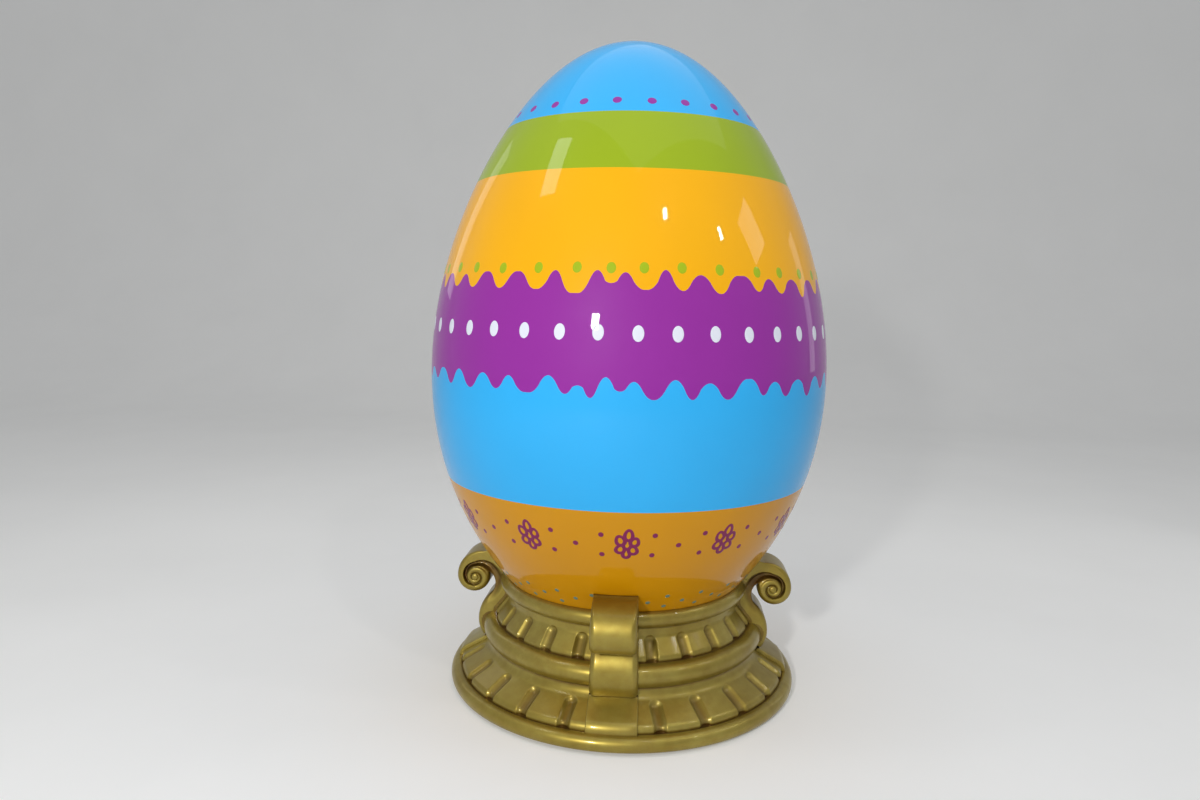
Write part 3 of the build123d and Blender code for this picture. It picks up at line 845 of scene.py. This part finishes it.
def bracket_mesh():
    """Points and faces of a bracket: swept front, carved sides, and a back fitted to the stand and egg."""
    path, normals, lower_count, coil_count = bracket_path()
    count, coil_end = len(path), lower_count + coil_count
    over = np.linspace(0, 1, count - coil_end)
    rounding = np.full(count, edge_round)
    rounding[coil_end:] = edge_round + (lip_round - edge_round) * np.clip(over * 1.1 - 0.1, 0, 1)
    front = rounded_front(path, normals, rounding)
    across = front.shape[1]
    points, faces = [front.reshape(-1, 3)], grid_faces(count, across)
    total = count * across
    side = path - normals * rounding[:, None]
    side[:, 1] = np.maximum(side[:, 1], toe_height)

    low_heights = np.maximum.accumulate(side[:lower_count, 1])
    high_heights = np.linspace(low_heights[-1], path[-1][1], 40)
    contact = []
    for heights in (low_heights, high_heights):
        touching = np.sqrt(stand_radius(heights) ** 2 - half_width(heights) ** 2)
        contact.append(np.stack([touching, heights], 1))
    coil_edge = side[lower_count:coil_end]
    outward = coil_edge - scroll
    turn = np.unwrap(np.arctan2(outward[:, 1], outward[:, 0]))
    rim = np.concatenate([contact[1], side[coil_end:][::-1], coil_edge[-1:]])
    rim_turn = np.unwrap(np.arctan2(rim[:, 1] - scroll[1], rim[:, 0] - scroll[0]))
    rim_share = (rim_turn - rim_turn[0]) / (rim_turn[-1] - rim_turn[0])
    inner_turn = turn[0] + 2 * math.pi + rim_share * (turn[-1] - turn[0] - 2 * math.pi)
    disc_radius = scroll_radius - edge_round
    inner = np.array(scroll) + disc_radius * np.stack([np.cos(inner_turn), np.sin(inner_turn)], 1)
    round_turns = np.concatenate([turn, inner_turn[::-1][1:-1]])
    disc = [
        np.array(scroll) + disc_radius * share * np.stack([np.cos(round_turns), np.sin(round_turns)], 1)
        for share in np.linspace(0.02, 1, 40)
    ]
    lower = side_block(side[:lower_count], contact[0])
    upper = side_block(inner, rim)
    middle = carved_side(np.array(disc))
    for sign in (1, -1):
        for block, closed in ((lower, False), (upper, False), (middle, True)):
            rows, columns_across = block.shape[:2]
            points.append((block * (1, sign, 1)).reshape(-1, 3))
            faces += grid_faces(rows, columns_across, total, close_across=closed)
            if closed:
                faces.append(tuple(total + j for j in range(columns_across)))
            total += rows * columns_across

    heights = np.concatenate([low_heights, high_heights[1:]])
    aside = np.linspace(1, -1, across)[None, :] * half_width(heights)[:, None]
    rear = np.sqrt(stand_radius(heights)[:, None] ** 2 - aside**2)
    back = np.stack([rear, aside, np.repeat(heights[:, None], across, 1)], -1)
    points.append(back.reshape(-1, 3))
    faces += grid_faces(len(heights), across, total)
    last = total + (len(heights) - 1) * across
    top = (count - 1) * across
    faces += [(j, j + 1, total + j + 1, total + j) for j in range(across - 1)]
    faces += [(top + j, top + j + 1, last + j + 1, last + j) for j in range(across - 1)]
    return np.concatenate(points), faces


def turned_about(points, degrees):
    turn = math.radians(degrees)
    spin = np.array([[math.cos(turn), -math.sin(turn), 0], [math.sin(turn), math.cos(turn), 0], [0, 0, 1]])
    return points @ spin.T


def four_copies(part, finish, points, faces, sharp):
    """Make a mesh on each side of the stand, and give each copy with its points in its own plane."""
    for index, side in enumerate(bracket_sides):
        turn = bracket_turn + 90 * index
        made = mesh_piece(f"{part}_{side}_{finish}", turned_about(points, turn), faces, "stand", gold)
        weld(made)
        made.data.shade_smooth()
        made.data.set_sharp_from_angle(angle=math.radians(sharp))
        spots = np.zeros(len(made.data.vertices) * 3)
        made.data.vertices.foreach_get("co", spots)
        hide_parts(f"{part}_{side}")
        yield made, turned_about(spots.reshape(-1, 3), -turn)


def brackets():
    for made, local in four_copies("scroll_bracket", "carved", *bracket_mesh(), 38):
        # Darker in the carved channels and where the bracket's back meets the stand: brown antiquing and
        # painted shade.
        carved = volute_relief(local[:, 0], local[:, 2]) * (np.abs(local[:, 1]) > lip_width / 4)
        behind = local[:, 0] < stand_radius(local[:, 2]) + 5 * mm
        point_values(made, "wash_and_shade_mask", np.clip(np.maximum(0.95 * carved / (9 * mm), 0.7 * behind), 0, 1))


def strap_mesh():
    """Plate over the skirt with softly rounded edges."""
    outline, normals = ogee_curve(*skirt_ogee)[:2]
    top = toe_height - gap
    inside = outline[:, 1] + normals[:, 1] * (strap_thickness + gap) < top
    outline, normals = outline[inside], normals[inside]
    heights = outline[:, 1]
    share = (heights - heights[0]) / (top - heights[0])
    width = (strap_foot + (strap_head - strap_foot) * share) / 2
    corner = [(0.0, 0.0)]
    for t in np.radians(np.linspace(0, 90, 5)):
        corner.append((strap_round * (1 - math.cos(t)), strap_thickness - strap_round * (1 - math.sin(t))))
    section = [(-1, *spot) for spot in corner]
    section += [(share, None, strap_thickness) for share in np.linspace(-1, 1, 9)[1:-1]]
    section += [(1, *spot) for spot in corner[::-1]]
    rows = []
    for spot, normal, half in zip(outline, normals, width):
        row = []
        for sign, inset, lift in section:
            y = sign * (half - strap_round) if inset is None else sign * (half - inset)
            radius = spot[0] + normal[0] * (lift + gap)
            height = spot[1] + normal[1] * (lift + gap)
            row.append((math.sqrt(max(radius**2 - y**2, 0)), y, height))
        rows.append(row)
    reach = stand_radius(np.array([top]))[0]
    lid = []
    for (x, y, _), (_, _, lift) in zip(rows[-1], section):
        lid.append((max(x, math.sqrt(reach**2 - y**2)) if lift == 0 else x, y, top))
    rows.append(lid)
    across = len(section)
    points = np.array(rows).reshape(-1, 3)
    faces = grid_faces(len(rows), across)
    faces.append(tuple(range(across)))
    faces.append(tuple((len(rows) - 1) * across + j for j in range(across))[::-1])
    faces += [
        (i * across, (i + 1) * across, (i + 1) * across + across - 1, i * across + across - 1)
        for i in range(len(rows) - 1)
    ]
    return points, faces


def straps():
    for made, local in four_copies("lower_strap", "plate", *strap_mesh(), 35):
        # Darker at the foot and the head, where the strap meets the base ring and the bracket: brown
        # antiquing and painted shade.
        height = local[:, 2]
        foot = np.clip(1 - (height - height.min()) / (6 * mm), 0, 1)
        head = np.clip(1 - (height.max() - height) / (4 * mm), 0, 1)
        point_values(made, "wash_and_shade_mask", 0.8 * np.clip(foot + head, 0, 1))


egg_shell()
egg_motifs()
base_ring_piece()
middle_ring_piece()
seat_ring_piece()
fluted("lower_skirt_flutes", skirt_ogee, skirt_stop, skirt_top, skirt_thickness, "lower_fluted_skirt")
collar = (collar_ogee, collar_stop, collar_top, collar_thickness)
fluted("upper_collar_flutes", *collar, "upper_fluted_collar")
brackets()
straps()

# Carried-over CAD nodes
cad_finish = {
    "base_board": (plywood, "plywood"),
    "middle_deck": (plywood, "plywood"),
    "egg_base_plate": (plywood, "plywood"),
    "egg_mast": (steel, "steel"),
    "mast_socket": (steel, "steel"),
    "mast_bolts": (steel, "steel"),
    "bracket_bolts": (steel, "steel"),
}
for name, (finish, slot_name) in cad_finish.items():
    cad = frame["nodes"][name]
    cad.data.materials.clear()
    cad.data.materials.append(finish)


# Stage, light and camera
camera_place = (0, -2480 * mm, 1131 * mm)
yaw, pitch, roll = -0.0320, -0.1225, -0.0188
focal_pixels, picture_width = 847.6, 1200
paper_glow = 0.2
world_light, world_shown = 0.30, 0.52
wall_start = 5.0


def seen_or_mirrored(tree):
    """1 for rays from the camera and for mirrored or transmitted ones, and otherwise 0."""
    path = node(tree, "ShaderNodeLightPath")
    mirrored = maths(tree, "MAXIMUM", path.outputs["Is Glossy Ray"], path.outputs["Is Transmission Ray"])
    return maths(tree, "MAXIMUM", path.outputs["Is Camera Ray"], mirrored)


def paper_material():
    """Pale matt paper, a little brighter to the eye than the light on it."""
    made, tree, shader = material("studio_paper")
    share = ranged(tree, noise(tree, 1.3, 4.0), 0.3, 0.7, 0, 1)
    pale, paler = srgb(228, 228, 226), srgb(232, 232, 230)
    tree.links.new(mixed(tree, share, pale, paler), shader.inputs["Base Color"])
    shader.inputs["Roughness"].default_value = 0.9
    shader.inputs["Specular IOR Level"].default_value = 0.1
    shader.inputs["Emission Color"].default_value = (*paler, 1)
    glow = maths(tree, "MULTIPLY", seen_or_mirrored(tree), paper_glow)
    tree.links.new(glow, shader.inputs["Emission Strength"])
    return made


def floor():
    """Floor that bends up into a wall behind the object."""
    reach, rise, bend = 14.0, 9.0, 3.0
    turn = np.linspace(-math.pi / 2, 0, 24)
    profile = [(-reach, 0.0)]
    profile += [(wall_start + bend * math.cos(t), bend + bend * math.sin(t)) for t in turn]
    profile.append((wall_start + bend, rise))
    points = [(x, y, z) for x in (-reach, reach) for y, z in profile]
    mesh = bpy.data.meshes.new("studio_floor")
    mesh.from_pydata(points, [], grid_faces(2, len(profile)))
    mesh.shade_smooth()
    made = bpy.data.objects.new("studio_floor", mesh)
    bpy.context.scene.collection.objects.link(made)
    mesh.materials.append(paper_material())


def lamp(name, place, aim, size, power, tall=None, lean=0.0):
    """Rectangular lamp, square unless its height is given, leaned in radians."""
    data = bpy.data.lights.new(name, "AREA")
    data.shape = "RECTANGLE"
    data.size, data.size_y = size, tall or size
    data.energy = power
    made = bpy.data.objects.new(name, data)
    facing = (Vector(aim) - Vector(place)).to_track_quat("-Z", "Y").to_matrix()
    made.matrix_world = Matrix.Translation(place) @ (facing @ Matrix.Rotation(lean, 3, "Z")).to_4x4()
    bpy.context.scene.collection.objects.link(made)


def mirrored_place(azimuth, height, away):
    """Place from which a lamp shows as a highlight at a spot of the egg, azimuth in degrees, and the
    spot."""
    turn = np.radians(azimuth)
    spot = on_egg(turn, height)
    normal = on_egg(turn, height, 1.0) - spot
    view = np.array(camera_place) - spot
    view /= np.linalg.norm(view)
    return tuple(spot + away * (2 * normal * (normal @ view) - view)), tuple(spot)


def highlight(name, azimuth, height, away, size, power, tall=None, lean=0.0):
    place, spot = mirrored_place(azimuth, height, away)
    lamp(name, place, spot, size, power, tall=tall, lean=lean)


def world():
    made = bpy.data.worlds.new("studio")
    bpy.context.scene.world = made
    made.use_nodes = True
    tree = made.node_tree
    back = tree.nodes["Background"]
    back.inputs["Color"].default_value = (0.94, 0.96, 1.0, 1)
    strength = ranged(tree, seen_or_mirrored(tree), 0, 1, world_light, world_shown)
    tree.links.new(strength, back.inputs["Strength"])


def camera():
    """The photograph's viewing angle, worked out from the egg's and the rings' outlines."""
    data = bpy.data.cameras.new("camera")
    data.sensor_width = 36
    data.lens = focal_pixels * data.sensor_width / picture_width
    made = bpy.data.objects.new("camera", data)
    bpy.context.scene.collection.objects.link(made)
    ahead = np.array([math.sin(yaw) * math.cos(pitch), math.cos(yaw) * math.cos(pitch), math.sin(pitch)])
    right = np.array([math.cos(yaw), -math.sin(yaw), 0.0])
    down = np.cross(ahead, right)
    right_rolled = math.cos(roll) * right + math.sin(roll) * down
    down_rolled = -math.sin(roll) * right + math.cos(roll) * down
    spin = np.stack([right_rolled, -down_rolled, -ahead], 1)
    made.matrix_world = Matrix.Translation(camera_place) @ Matrix(spin.tolist()).to_4x4()
    bpy.context.scene.camera = made


floor()
world()
lamp("overhead", (0.3, 0.3, 5.5), (0, 0, 0.9), 5.0, 50)
lamp("front", (-1.3, -4.2, 2.15), (0, 0, 0.8), 0.27, 94, tall=0.34)
highlight("strip_left", -147, 1330 * mm, 3.2, 0.5, 3, tall=1.8)
highlight("spark_middle", -80.7, 1322 * mm, 3.0, 0.12, 9, tall=0.18)
highlight("spark_right", -65.2, 1280 * mm, 3.0, 0.10, 5, tall=0.2)
highlight("window", -54.5, 1290 * mm, 3.2, 0.7, 6, tall=0.75, lean=0.25)
highlight("window_left", -115, 1440 * mm, 3.6, 0.6, 13, tall=1.1, lean=0.5)
highlight("strip_right", -34, 1120 * mm, 3.2, 0.4, 2, tall=1.6)
camera()
bpy.context.scene.view_settings.view_transform = "Standard"
